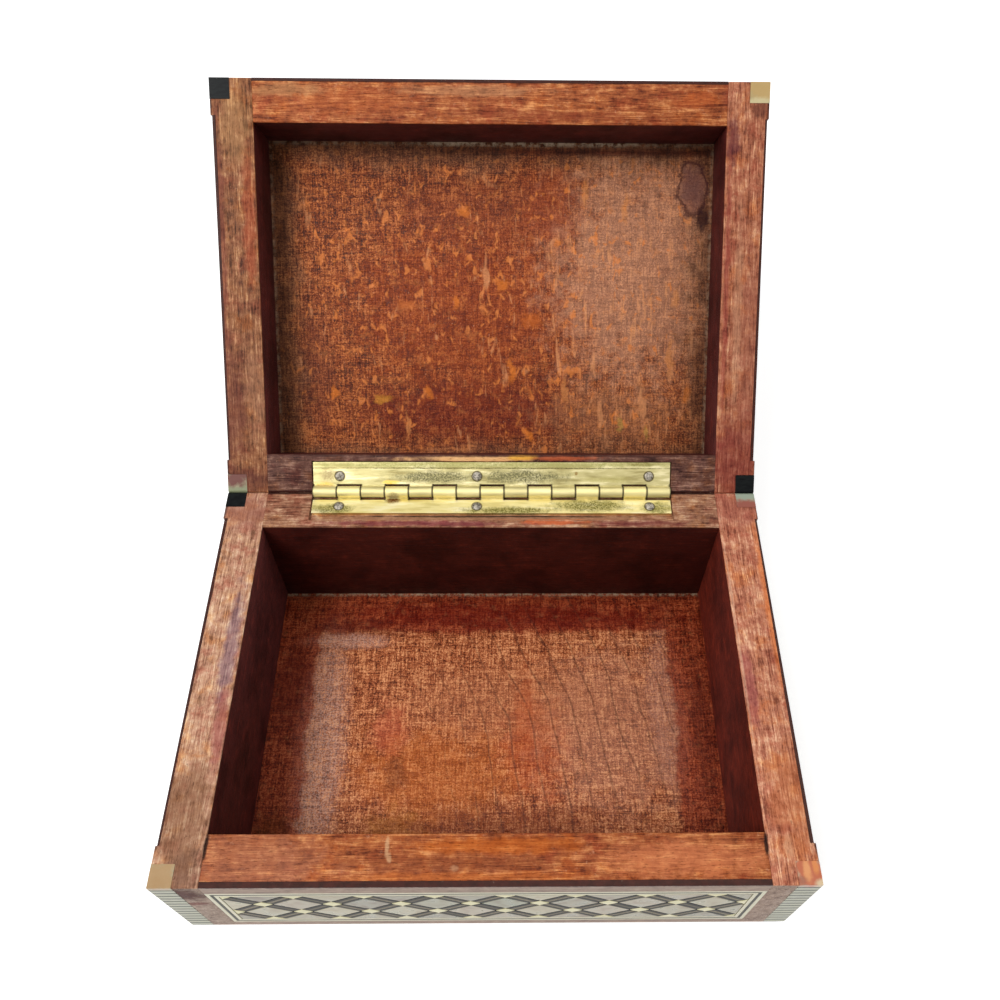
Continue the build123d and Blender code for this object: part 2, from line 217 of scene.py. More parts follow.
def beech_figure(wood, along, seed):
    """The streaks, fine lines and short brown flecks of beech whose grain runs along x, y or z."""

    def squeeze(length, width):
        return tuple(1 / length if way == along else 1 / width for way in "xyz")

    streaks = wood.noise(squeeze(10, 0.8), seed, 5, 0.68, 0.9)
    lines = wood.noise(squeeze(5.0, 0.26), seed + 3, 4, 0.7)
    cloud = wood.noise(0.34, seed + 9, 6, 0.72)
    tone = wood.plus(wood.times(streaks, 0.36), wood.plus(wood.times(lines, 0.28), wood.times(cloud, 0.36)))
    flecks = wood.rise(wood.noise(squeeze(1.3, 0.2), seed + 7, 3), 0.58, 0.7)
    return wood.ramp(tone, 0.4, 0.6), flecks


def stained_beech(name, along, seed, rim, inside, depth, stains, from_frame=Matrix(), rim_level=base_rim):
    """Stained beech. rim and inside are each dark, middle and light, and the stains lie over them."""
    wood = Finish(name, from_frame, rim_level, depth)
    figure, flecks = beech_figure(wood, along, seed)
    wood.colour = wood.blend(figure, *rim)
    hue = wood.noise(0.22, seed + 11, 5, 0.68)
    wood.stain(wood.rise(hue, 0.46, 0.68), 0.7, (214, 152, 146))
    wood.stain(wood.rise(hue, 0.54, 0.32), 0.6, (255, 206, 132))
    worn = wood.rise(wood.noise(0.9, seed + 13, 5, 0.72), 0.58, 0.72)
    wood.coat(worn, 0.4, (206, 154, 120))
    below = wood.rise(wood.off(wood.z, rim_level), 0.12, 0.5)
    beside = wood.rise(wood.off(wood.x), side_face - 0.2, side_face - 0.05)
    outer = wood.larger(beside, wood.rise(wood.off(wood.y), front_face - 0.2, front_face - 0.05))
    greyed = wood.blend(figure, (122, 100, 90), (152, 134, 120), (170, 152, 138))
    wood.coat(wood.times(outer, below), 0.9, greyed)
    wood.patches(stains, seed)
    wood.deepen(0.36, figure)
    # The walls inside take the darker inside shades, which hold painted shade as well as a deeper stain.
    wall = wood.blend(wood.plus(0.2, wood.times(figure, 0.6)), *inside)
    murk = wood.noise(0.09, seed + 15, 4, 0.6)
    wall = wood.tinted(wall, wood.times(wood.rise(murk, 0.42, 0.66), 0.6), (132, 104, 104))
    across = wood.rise(wood.off(wood.x), 56.5, 55.5)
    between = wood.rise(wood.off(wood.y), 38.0, 37.4)
    wood.coat(below, wood.times(across, between), wall)
    wood.stain(flecks, 0.5, (136, 94, 84))
    rough = wood.plus(0.4, wood.times(wood.noise(0.5, seed + 5, 3), 0.25))
    height = wood.less(wood.times(figure, 0.7), flecks)
    return wood.done(rough, wood.relief(height, 0.05), shine=0.12)


def placed(name, data):
    """Puts a new object in the scene."""
    piece = bpy.data.objects.new(name, data)
    bpy.context.collection.objects.link(piece)
    return piece


def eased_board(name, node, body, finish, ease=0.16):
    """A board with its long sharp edges eased by sanding, in place of the square one."""
    board = bmesh.new()
    board.from_mesh(nodes[node].data)
    bmesh.ops.remove_doubles(board, verts=board.verts, dist=1e-6)
    bmesh.ops.dissolve_limit(board, angle_limit=radians(1), verts=board.verts, edges=board.edges)
    long = [e for e in board.edges if e.calc_length() > 3 * mm]
    sharp = [e for e in long if e.calc_face_angle(0) > radians(40)]
    bmesh.ops.bevel(board, geom=sharp, offset=ease * mm, segments=2, profile=0.5, affect="EDGES")
    bmesh.ops.triangulate(board, faces=[f for f in board.faces if len(f.verts) > 4])
    mesh = bpy.data.meshes.new(name)
    board.to_mesh(mesh)
    board.free()
    mesh.polygons.foreach_set("use_smooth", [True] * len(mesh.polygons))
    mesh.set_sharp_from_angle(angle=radians(35))
    mesh.materials.append(finish)
    piece = placed(name, mesh)
    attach(piece, body)
    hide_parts(node)


def base_board(side, along, seed, rim, inside, depth, stains):
    beech = stained_beech(f"{side}_beech", along, seed, rim, inside, depth, stains)
    eased_board(f"{side}_board", f"base_{side}_board", "base", beech)


orange_rim = ((104, 46, 24), (160, 88, 49), (204, 134, 83))
# This wall shade is darker than the rims' partly for a deeper stain and partly as painted shade inside the
# box.
dark_red_wall = ((34, 11, 8), (60, 21, 14), (92, 37, 22))
# Painted shade: near-black patches at the top of the box's front inner corners, laid on the front and side
# boards.
left_corner_shade = ((-53, -38.2), (0.5, 2.6, 1.2), (30, 13, 9), 0.95)
right_corner_shade = ((53, -38.2), (0.5, 2.6, 1.2), (30, 13, 9), 0.95)
base_board("front", "x", 3, orange_rim, dark_red_wall, 3, [
    ((-44, -41), (16, 7), (165, 105, 78), 0.5),
    ((2, -38.4), (17, 1.9), (185, 92, 29), 0.7),
    ((-6, -44.2), (24, 1.0), (180, 94, 38), 0.6),
    ((-8, -41.6), (22, 2.0), (135, 68, 35), 0.6),
    ((38, -41), (18, 4), (206, 122, 78), 0.65),
    ((-18.9, -38.7), (0.55, 1.9), (200, 152, 111), 0.8),
    ((-18.3, -40.6), (0.5, 1.1), (200, 152, 111), 0.7),
    ((-6, -42.6), (0.9, 0.7), (193, 143, 105), 0.5),
    left_corner_shade,
    right_corner_shade,
    # Painted shadow: a dark line along the rim's rounded front edge.
    ((0, -45.6), (90, 0.5, 1.4), (58, 26, 22), 0.9),
])

# Base side boards: beech, full depth, each rebated at both ends for the corner posts. The left one has
# taken a blue-violet stain along its inner edge, and the right one is redder.
pink_rim = ((136, 97, 73), (190, 145, 117), (225, 191, 158))
red_rim = ((133, 75, 55), (190, 125, 96), (230, 178, 142))
# These two wall shades hold painted shade as well as a deeper stain.
black_red_wall = ((51, 21, 21), (75, 30, 27), (117, 47, 38))
brown_red_wall = ((53, 16, 11), (86, 27, 17), (128, 44, 26))
base_board("left", "y", 21, pink_rim, black_red_wall, 6, [
    ((-55.2, 4), (1.9, 16), (128, 100, 112), 0.65),
    ((-54.4, -15), (1.6, 11), (156, 84, 78), 0.7),
    ((-58, 40), (9, 6), (150, 94, 78), 0.7),
    ((-58, -32), (6, 13), (132, 90, 64), 0.75),
    ((-56.5, -42.5), (4, 4, 3), (108, 72, 54), 0.75),
    ((-57.0, -46, 27), (5, 1.5, 5), (78, 42, 33), 1.0),
    ((-56.2, -46, 20.5), (3.4, 1.0, 1.4), (104, 46, 40), 0.8),
    # Painted shade: a dark line along the rim's rounded outer edge.
    ((-62.35, 6), (0.5, 60), (78, 56, 54), 0.85),
    left_corner_shade,
])
base_board("right", "y", 37, red_rim, brown_red_wall, 6, [
    ((58, 41), (9, 6), (158, 90, 74), 0.6),
    ((61.4, 16), (1.1, 22), (212, 122, 68), 0.7),
    ((54.6, -6), (1.5, 11), (156, 82, 78), 0.7),
    ((53.5, 6), (0.35, 34), (214, 168, 140), 0.5),
    ((57.2, -39), (1.1, 2.0), (216, 166, 130), 0.7),
    ((59, -30), (5, 12), (190, 112, 68), 0.5),
    # Painted shade: a dark line along the rim's rounded outer edge.
    ((62.4, 0), (0.4, 60), (62, 30, 26), 0.85),
    right_corner_shade,
])

# Base back board: beech between the side boards, with the hinge's mortise cut along its upper edge.
# The wood in front of the leaf was left raw and pale where the mortise was trimmed.
brick_rim = ((98, 58, 45), (154, 109, 83), (200, 162, 130))
purple_rim = ((58, 31, 28), (98, 65, 55), (139, 105, 89))
# This wall shade holds painted shade as well as a deeper stain.
back_wall = ((39, 13, 12), (67, 23, 17), (103, 40, 28))
base_board("back", "x", 51, brick_rim, back_wall, 1.2, [
    ((0, 38.8, 31), (43, 1.3, 2.0), (156, 112, 84), 0.95),
    ((14, 38.2, 31), (14, 0.5, 2.0), (214, 116, 66), 0.8),
    ((14, 37.0), (9, 0.7), (204, 100, 56), 0.8),
    ((-18, 36.7), (26, 0.9), (122, 50, 58), 0.75),
    ((34, 36.7), (14, 0.9), (112, 44, 46), 0.7),
    # Painted shade: a dark line along the back edge, in the gap under the hinge.
    ((0, 45.6), (80, 0.5, 1.6), (34, 24, 24), 0.9),
    # Painted shadow: a dark line under the front edge of the hinge's leaf.
    ((0, 39.4, 31.2), (43, 0.3, 0.9), (44, 26, 20), 0.9),
])

# Base floor: a thin board between the walls, stained, sanded across and glossed, with a few curved growth
# lines right of the middle. It is darker round its edge, where the dark walls' reflection is painted on, and
# painted sheen lies down its sides and as a highlight across its middle.
floor_top = 2.5
side_wall = 53.1
back_line = 35.7
growth_centre = (-120, -36, floor_top)
growth_ring = 5.4


def sanded_figure(wood, seed):
    """Beech scratched across its grain by coarse sandpaper before it was stained."""
    figure, flecks = beech_figure(wood, "x", seed)
    across = wood.noise((1 / 0.35, 1 / 5, 1.0), seed + 21, 4, 0.65)
    grit = wood.noise((2.8, 2.8, 1.0), seed + 23, 3, 0.8)
    tone = wood.plus(wood.times(figure, 0.3), wood.times(wood.ramp(across, 0.32, 0.68), 0.28))
    return wood.plus(tone, wood.times(wood.ramp(grit, 0.34, 0.66), 0.42)), flecks


def from_walls(wood, side, back, front):
    """How far in from the walls."""
    ends = wood.smaller(wood.less(back, wood.y), wood.plus(wood.y, front))
    return wood.smaller(wood.less(side, wood.off(wood.x)), ends)


def glossed(wood, tone, flecks, rough):
    height = wood.less(wood.times(tone, 0.8), flecks)
    rough = wood.plus(rough, wood.times(wood.noise(0.35, 5, 4, 0.65), 0.3))
    return wood.done(rough, wood.relief(height, 0.06), shine=0.18)


def floor_finish():
    wood = Finish("floor_beech", level=floor_top)
    tone, flecks = sanded_figure(wood, 71)
    tone = wood.ramp(tone, 0.3, 0.7)
    wood.colour = wood.blend(tone, (93, 37, 18), (172, 90, 51), (224, 148, 99))
    wood.patches([
        ((-12, -13), (22, 13), (184, 92, 26), 0.6),
        ((-22, -29), (9, 8), (172, 104, 34), 0.55),
        ((10, -6), (9, 16), (186, 78, 30), 0.5),
        ((-24, -2), (5, 7), (196, 92, 60), 0.5),
        ((30, -2), (22, 24), (186, 128, 100), 0.45),
        # Painted highlight: a paler band across the middle of the floor.
        ((6, 5), (30, 11), (180, 110, 73), 0.4),
        ((4, -29), (38, 9), (126, 52, 18), 0.58),
        # Painted reflection of the dark walls: this and the next patch darken the floor along the back wall.
        ((2, 29), (48, 5.5), (122, 22, 4), 0.72),
        ((-34, 25), (12, 4), (103, 44, 28), 0.5),
        ((-49, -29), (5, 8), (129, 80, 23), 0.6),
        # Painted reflection of the dark wall along the left side.
        ((-49, 8), (6, 14), (113, 35, 21), 0.6),
        ((50, 0), (3, 26), (112, 49, 30), 0.5),
        ((-22, -13), (3, 5), (103, 49, 23), 0.4),
        ((8, 2), (2.5, 16), (176, 76, 31), 0.4),
    ], 4)
    wood.deepen(0.32, tone)
    spangle = wood.rise(wood.noise(2.4, 33, 3, 0.75), 0.44, 0.56)
    # Painted reflections: pale sheen down the left side, along the back at the left, and down the right
    # side.
    left_sheen = wood.blot((-40.2, -7), (6.6, 35), 0.2, 77, 0.5)
    left_sheen = wood.larger(left_sheen, wood.blot((-37, 21.6), (12, 2.6), 0.22, 71, 0.5))
    wood.coat(left_sheen, wood.plus(0.14, wood.times(spangle, 0.46)), (214, 172, 154))
    right_sheen = wood.blot((42, 4), (5, 26), 0.4, 47, 0.3)
    wood.coat(right_sheen, wood.plus(0.1, wood.times(spangle, 0.3)), (190, 140, 122))
    # Painted reflection of the dark walls: the floor darkens in a band along the walls, and more at their
    # foot.
    edge = wood.ragged(from_walls(wood, side_wall + 1.5, back_line, 44.0), 7.0, 0.2, 9, 5, 0.7)
    wood.stain(wood.rise(edge, 12.2, 10.4), 0.8, (198, 122, 104))
    wood.stain(wood.rise(edge, 4.0, 0.0), 0.7, (190, 156, 132))
    cloud = wood.noise(0.5, 83, 5, 0.75)
    wood.stain(wood.rise(cloud, 0.5, 0.36), 0.2, (190, 150, 136))
    wood.coat(wood.rise(cloud, 0.52, 0.68), 0.12, (222, 152, 100))
    ring = wood.vector("LENGTH", wood.vector("SUBTRACT", wood.where, growth_centre))
    ring = wood.plus(ring, wood.times(wood.noise(0.05, 2, 2), 5.0))
    wave = wood.maths("SINE", wood.times(ring, 2 * pi / growth_ring))
    broken = wood.rise(wood.noise(0.3, 61, 3), 0.3, 0.44)
    ring_line = wood.times(wood.rise(wave, 0.93, 1.0), wood.blot((18, 4), (36, 40), 0.4, 13, 0.2))
    wood.coat(wood.times(ring_line, broken), 0.5, (82, 40, 26))
    wood.stain(flecks, 0.4, (150, 112, 96))
    dusty = wood.rise(wood.noise(1.3, 31, 4, 0.7), 0.4, 0.62)
    behind = wood.rise(wood.y, back_line - 1.3, back_line - 0.1)
    wood.coat(wood.times(behind, dusty), 0.75, (176, 160, 132))
    return glossed(wood, tone, flecks, 0.24)


eased_board("floor_board", "base_floor", "base", floor_finish(), 0.02)

# Lid boards: beech as on the base. They are seen from below, with the lid standing open on its hinge,
# so their finishes are laid out in the lid's own directions, measured from its rim.
seam = 0.8
hinge_at = Vector((0, 45.6, base_rim + seam / 2)) * mm
lid_opening = radians(138.107)
lid_closed = Matrix.Translation((0, 0, (base_rim + seam) * mm))
swing = Matrix.Translation(hinge_at) @ Matrix.Rotation(-lid_opening, 4, "X") @ Matrix.Translation(-hinge_at)
lid_place = swing @ lid_closed
in_lid = lid_place.inverted()
russet_rim = ((117, 62, 43), (168, 105, 77), (204, 150, 115))
brown_rim = ((88, 53, 35), (142, 93, 63), (185, 138, 99))


def lid_board(side, along, seed, rim, depth, stains):
    beech = stained_beech(f"lid_{side}_beech", along, seed, rim, black_red_wall, depth, stains, in_lid, 0.0)
    eased_board(f"lid_{side}_piece", f"lid_{side}_board", "lid", beech)


lid_board("front", "x", 83, orange_rim, 3, [
    # Painted shadow: this and the next patch darken the rim's rounded front edge.
    ((0, -45.6), (90, 0.5, 2), (84, 39, 24), 0.8),
    ((28, -45.7), (3, 0.8, 2), (62, 23, 15), 0.8),
    ((-32, -41), (18, 3), (173, 88, 42), 0.5),
    ((-46, -43.6), (10, 1.6), (176, 125, 82), 0.6),
    ((-4, -43.6), (18, 1.4), (185, 132, 92), 0.5),
    ((12, -38.6), (24, 1.2), (131, 59, 35), 0.5),
    ((46, -42), (6, 2), (175, 83, 38), 0.6),
    ((54, -43), (3, 3), (135, 54, 38), 0.6),
])
lid_board("left", "y", 97, brown_rim, 4, [
    ((-61, 26), (4, 17), (105, 55, 44), 0.7),
    ((-55, 22), (3, 12), (158, 111, 83), 0.5),
    ((-61.6, -12), (1.5, 34), (126, 67, 51), 0.7),
    ((-54.8, -16), (1.6, 18), (157, 69, 39), 0.6),
    ((-57, -36), (4, 9), (166, 122, 79), 0.5),
    ((-59, 43), (8, 4), (92, 47, 41), 0.7),
    # Painted shade: a dark line along the rim's rounded outer edge.
    ((-62.3, 0), (0.5, 60), (66, 38, 34), 0.85),
])
lid_board("right", "y", 113, russet_rim, 4, [
    ((58, 38), (9, 11), (117, 42, 38), 0.7),
    ((54.6, -33), (1.6, 6), (87, 29, 38), 0.75),
    ((60, 12), (3, 24), (147, 87, 68), 0.55),
    ((54.2, 0), (0.7, 34), (136, 53, 45), 0.6),
    ((60.8, -40), (2.4, 2.4), (105, 56, 42), 0.7),
    ((57, 4), (1.2, 24), (181, 132, 102), 0.45),
    # Painted shade: a dark line along the rim's rounded outer edge.
    ((62.35, 0), (0.45, 60), (56, 30, 28), 0.85),
])
lid_board("back", "x", 127, purple_rim, 1.6, [
    ((-4, 37.8), (17, 0.8), (226, 172, 116), 0.95),
    ((7, 37.4), (4, 0.8), (228, 166, 62), 0.9),
    ((17, 37.6), (8, 0.7), (176, 84, 46), 0.8),
    ((0, 37.0), (80, 0.4), (66, 34, 28), 0.7),
    # Painted shade: a dark line along the back edge, in the gap at the hinge.
    ((0, 45.6), (80, 0.5), (34, 24, 24), 0.9),
])

# Lid top board: quarter-sawn beech under the lid's inlay. Its inner face is the lid's ceiling, full of
# bright ray flecks, darker and browner towards its edges as painted shade, with painted sheen on its right,
# a painted highlight along the front wall, and one dark spill near the front right corner.
ceiling_level = 13.6
front_line = 36.7
large_flecks = {
    (222, 120, 36): [
        (4.5, 16.4, 1.1, 3.4), (-9.0, -0.1, 1.0, 2.2), (-15.9, 21.6, 1.1, 1.8), (-6.6, -20.8, 2.0, 1.8),
        (9.0, 32.5, 1.0, 1.8), (48.1, 21.9, 1.2, 2.6), (15.9, -13.8, 1.4, 1.4), (2.3, -3.9, 1.8, 1.6),
        (-39.4, 22.1, 0.9, 1.8),
    ],
    (206, 138, 44): [(-27.3, 23.5, 2.2, 1.4)],
    (206, 130, 72): [
        (22.3, -25.4, 0.9, 3.6), (32.0, -22.0, 0.9, 4.4), (-21.2, 29.7, 0.7, 4.2), (17.9, 21.0, 1.0, 4.0),
        (43.6, 13.3, 0.7, 6.0), (44.7, -1.3, 1.0, 2.6),
    ],
    (190, 92, 24): [(9.0, 4.6, 3.0, 1.8)],
    (190, 100, 44): [(-21.2, 0.9, 3.0, 1.4)],
    (186, 146, 70): [(31.8, 29.8, 0.8, 2.4), (38.3, 31.5, 0.8, 2.0)],
}


def ceiling_finish():
    wood = Finish("ceiling_beech", in_lid, ceiling_level)
    tone, flecks = sanded_figure(wood, 141)
    tone = wood.ramp(tone, 0.28, 0.72)
    wood.colour = wood.blend(tone, (73, 29, 12), (133, 61, 28), (190, 107, 55))
    wood.patches([
        ((-6, 27), (32, 9), (108, 28, 10), 0.68),
        ((-6, 2), (32, 24), (138, 50, 4), 0.6),
        # Painted sheen: a pale veil over the right half of the ceiling.
        ((35, -8), (24, 34), (196, 142, 110), 0.56),
        ((30, 28), (20, 8), (154, 102, 69), 0.5),
        ((-2, -22), (24, 8), (124, 52, 24), 0.5),
        ((14, -22), (8, 12), (143, 57, 23), 0.5),
        ((-44, 18), (6, 16), (99, 45, 29), 0.5),
    ], 5)
    wood.deepen(0.38, tone)
    cloud = wood.noise(0.3, 83, 5, 0.72)
    wood.stain(wood.rise(cloud, 0.5, 0.34), 0.3, (176, 140, 128))
    wood.coat(wood.rise(cloud, 0.52, 0.68), 0.3, (206, 124, 64))
    crowd = wood.noise(0.1, 157, 3)
    dots = wood.noise((1 / 1.7, 1 / 2.6, 0.2), 151, 2, 0.5, 0.5)
    middle = wood.blot((-8, 0), (62, 46), 0.3, 8, 0.1)
    dots = wood.plus(dots, wood.plus(wood.times(crowd, 0.3), wood.times(middle, 0.05)))
    dot_tint = wood.mix(wood.noise(0.16, 171, 2), (226, 122, 36), (214, 132, 78))
    wood.coat(wood.rise(dots, 0.775, 0.9), 0.72, dot_tint)
    streaks = wood.noise((1 / 1.6, 1 / 7.0, 0.2), 163, 2, 0.5, 0.7)
    right = wood.blot((28, 2), (46, 44), 0.3, 12, 0.1)
    streaks = wood.plus(streaks, wood.plus(wood.times(crowd, 0.3), wood.times(right, 0.05)))
    wood.coat(wood.rise(streaks, 0.78, 0.93), 0.6, (222, 148, 96))
    strayed = wood.vector("ADD", wood.where, wood.wander((4.0, 4.0, 0.0), 0.45, 201, 3))
    for tint, spots in large_flecks.items():
        for x, y, width, length in spots:
            fleck = wood.vector("SUBTRACT", strayed, (x, y, ceiling_level))
            fleck = wood.vector("LENGTH", wood.vector("DIVIDE", fleck, (width, length, 9)))
            wood.coat(wood.rise(fleck, 1.2, 0.4), 0.6, tint)
    specks = wood.rise(wood.noise(1.9, 177, 2), 0.66, 0.76)
    wood.coat(specks, 0.4, (226, 168, 132))
    # Painted shade: the ceiling darkens and browns towards its walls, most in the last 4 mm.
    edge = wood.ragged(from_walls(wood, side_wall, 40.0, front_line), 16.0, 0.12, 19, 4, 0.65)
    edge_tint = wood.blend(tone, (84, 54, 38), (148, 106, 76))
    wood.coat(wood.rise(edge, 9.0, 1.0), 0.6, edge_tint)
    wood.stain(wood.rise(edge, 4.0, 0.0), 0.6, (150, 122, 108))
    # Painted shadow: a dark band just in from the front wall.
    band = wood.times(wood.near(wood.y, -34.6, 1.5), wood.rise(wood.x, -20.0, 10.0))
    wood.stain(band, 0.8, (150, 92, 84))
    spill = wood.blot((48.2, -26.5), (3.8, 6.6), 0.3, 23, 0.3)
    tail = wood.blot((51.0, -19.6), (1.5, 3.4), 0.3, 27, 0.5)
    rim_of_spill = wood.near(spill, 0.35, 0.3)
    wood.coat(spill, 0.75, (112, 72, 66))
    wood.coat(rim_of_spill, 0.75, (58, 20, 24))
    wood.coat(tail, 0.85, (44, 16, 18))
    wood.stain(flecks, 0.4, (146, 108, 92))
    far = wood.rise(wood.y, 1.3 - front_line, 0.3 - front_line)
    sides = wood.rise(wood.off(wood.x), side_wall - 1.1, side_wall - 0.2)
    dusty = wood.rise(wood.noise(0.7, 29, 5, 0.7), 0.4, 0.6)
    # Painted highlight: a pale glossy line along the foot of the front wall, laid on with the dust.
    gleam = wood.times(far, wood.blot((8, -36.7), (34, 4), 0.3, 91, 0.2))
    dust_and_highlight = wood.larger(wood.times(far, 0.3), wood.times(sides, 0.25))
    dust_and_highlight = wood.larger(dust_and_highlight, wood.times(gleam, 0.9))
    wood.coat(dust_and_highlight, dusty, (206, 180, 150))
    return glossed(wood, tone, flecks, 0.3)


eased_board("ceiling_board", "lid_top_board", "lid", ceiling_finish(), 0.02)

# Corner posts: stacks of thin bone and black layers glued into the rebates and sanded flush. The bone
# has yellowed unevenly, and the stain of the rims has run over the ends of some posts.


def dress(finish, *names):
    """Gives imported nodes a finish."""
    for name in names:
        node = nodes[name]
        for held in node.material_slots:
            held.material = finish
        if not node.material_slots:
            node.data.materials.append(finish)


def bone_finish(name, shades, stains=(), from_frame=Matrix(), rim_level=base_rim):
    bone = Finish(name, from_frame, rim_level, 1.6)
    cloud = bone.ramp(bone.noise((0.22, 0.22, 0.5), 5, 4), 0.32, 0.68)
    fibres = bone.ramp(bone.noise((0.5, 0.5, 6.0), 8, 3), 0.32, 0.68)
    tone = bone.plus(bone.times(cloud, 0.6), bone.times(fibres, 0.4))
    bone.colour = bone.blend(tone, *shades)
    bone.patches(stains, 40)
    rough = bone.plus(0.3, bone.times(cloud, 0.15))
    return bone.done(rough, bone.relief(fibres, 0.01), shine=0.4)


def black_finish(name, dark, light):
    black = Finish(name)
    tone = black.ramp(black.noise((0.6, 0.6, 3.0), 2, 4), 0.32, 0.68)
    black.colour = black.blend(tone, dark, light)
    return black.done(0.4, black.relief(tone, 0.01), shine=0.08)


post_stains = [
    ((-60.4, -44), (5, 5), (168, 132, 88), 0.9),
    ((60.2, -43.6), (4.4, 4.6), (178, 92, 54), 1.0),
    ((59.9, -43.2), (0.9, 2.6), (220, 152, 92), 0.75),
    ((61.6, -42.4), (0.7, 1.8), (214, 134, 62), 0.7),
    ((58.7, -45.2), (1.2, 0.9), (140, 74, 48), 0.6),
    ((62.4, -46), (1.5, 1.3, 2.0), (206, 184, 146), 0.9),
    ((60.0, 42.0), (4.6, 2.2), (140, 74, 58), 1.0),
    ((60.6, 45.6), (4, 1.8), (140, 152, 134), 0.9),
]
lid_post_stains = [
    ((60.4, -44.6), (4.6, 3.4), (179, 146, 88), 0.9),
    ((60.2, -41.6), (4, 1.2), (199, 184, 139), 0.8),
    ((-60.2, 41.8), (5, 3.4), (100, 49, 38), 1.0),
    ((-60.6, 45.8), (5, 1.6), (130, 136, 103), 0.9),
]
post_shades = ((122, 121, 98), (158, 158, 134), (184, 182, 155))
lid_post_shades = ((117, 114, 85), (150, 146, 113), (174, 168, 133))
lid_post_bone = bone_finish("lid_post_bone", lid_post_shades, lid_post_stains, in_lid, 0.0)
post_black = black_finish("post_black", (6, 7, 9), (20, 23, 23))
dress(bone_finish("post_bone", post_shades, post_stains), "base_post_bone_layers")
dress(lid_post_bone, "lid_post_bone_layers")
dress(post_black, "base_post_black_layers", "lid_post_black_layers")

# Border strips: brown veneer wood above and below each field, and round the lid's top, glued in and
# sanded flush, greyed by handling, and dark along the edge at the rim, partly with painted shadow.


def border_finish(name, dark, middle, light, from_frame=Matrix(), rim_level=base_rim):
    wood = Finish(name, from_frame)
    figure, flecks = beech_figure(wood, "x", 161)
    wood.colour = wood.blend(figure, dark, middle, light)
    wood.stain(flecks, 0.45, (140, 112, 102))
    # A dark band along the strip's edge at the rim: the veneer's stained edge with a painted shadow line.
    from_rim = wood.ragged(wood.off(wood.z, rim_level), 1.2, 0.8, 12, 4, 0.7)
    dark_edge_and_shadow = wood.blend(wood.noise(0.5, 18, 4, 0.7), (12, 7, 7), (78, 34, 28))
    wood.coat(wood.rise(from_rim, 0.42, 0.2), 0.96, dark_edge_and_shadow)
    return wood.done(0.46, wood.relief(figure, 0.02), shine=0.12)


lid_border = border_finish("lid_border", (84, 58, 46), (124, 92, 74), (156, 122, 102), in_lid, 0.0)
dress(border_finish("base_border", (117, 95, 84), (150, 126, 110), (173, 150, 131)), "base_border_strips")
dress(lid_border, "lid_border_strips")

# Stringing: two thin cream lines of bone with a dark wood line between them, framing each field. They
# are glued in side by side and rubbed down flush.
cream_line = bone_finish("cream_line", ((180, 173, 144), (201, 195, 166), (217, 210, 183)))
dress(cream_line, "base_cream_lines", "lid_cream_lines")
dress(black_finish("dark_line", (36, 35, 27), (59, 56, 45)), "base_dark_lines", "lid_dark_lines")

# Mother-of-pearl lozenges: sawn from shell, each its own shade of silver, grey-green or pink, laid in
# the meshes of the lattice and rubbed down flush. Those at a field's edge are cut in half.


